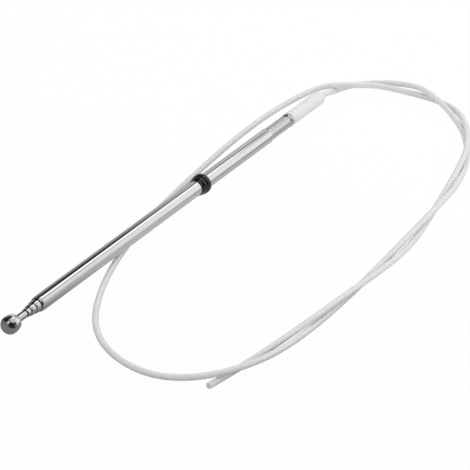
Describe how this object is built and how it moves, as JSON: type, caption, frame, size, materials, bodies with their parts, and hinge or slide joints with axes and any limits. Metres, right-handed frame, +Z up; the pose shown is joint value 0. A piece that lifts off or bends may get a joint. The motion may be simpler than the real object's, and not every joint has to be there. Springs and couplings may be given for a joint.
{
  "type": "telescopic car antenna mast",
  "caption": "Chrome telescopic car mast with ball tip, black lobed seal ring, nylon guide sleeve and a long looped nylon drive cable.",
  "frame": {"origin": "middle of the pushed-together mast, on its axis", "axes": "+X along the mast from the ball to the cable end, +Z up as it lies, +Y to the side away from the cable's loop"},
  "size_m": [0.3666, 0.1429, 0.0128],
  "materials": {
    "chrome": "polished",
    "brass": "turned",
    "spring_bronze": "bright rolled sheet",
    "black_rubber": "moulded, satin",
    "natural_nylon": "natural, slightly translucent"
  },
  "bodies": {
    "mast_foot": {"main_tube": "chrome", "seal_ring": "black_rubber", "foot_bush": "chrome", "guide_sleeve": "natural_nylon", "drive_cable": "natural_nylon"},
    "section_4": {"tube_4": "chrome", "foot_joint_4": "brass", "contact_spring_4": "spring_bronze"},
    "section_3": {"tube_3": "chrome", "foot_joint_3": "brass", "contact_spring_3": "spring_bronze"},
    "section_2": {"tube_2": "chrome", "foot_joint_2": "brass", "contact_spring_2": "spring_bronze"},
    "rod_section": {"rod": "chrome", "tip_ball": "chrome", "cable_ferrule": "brass", "contact_spring_1": "spring_bronze"}
  },
  "joints": [
    {"name": "section_4_slide", "type": "slide", "parent": "mast_foot", "child": "section_4", "axis": [-1, 0, 0], "range_m": [0, 0.205]},
    {"name": "section_3_slide", "type": "slide", "parent": "section_4", "child": "section_3", "axis": [-1, 0, 0], "range_m": [0, 0.1957]},
    {"name": "section_2_slide", "type": "slide", "parent": "section_3", "child": "section_2", "axis": [-1, 0, 0], "range_m": [0, 0.186]},
    {"name": "rod_slide", "type": "slide", "parent": "section_2", "child": "rod_section", "axis": [-1, 0, 0], "range_m": [0, 0.1709]}
  ]
}
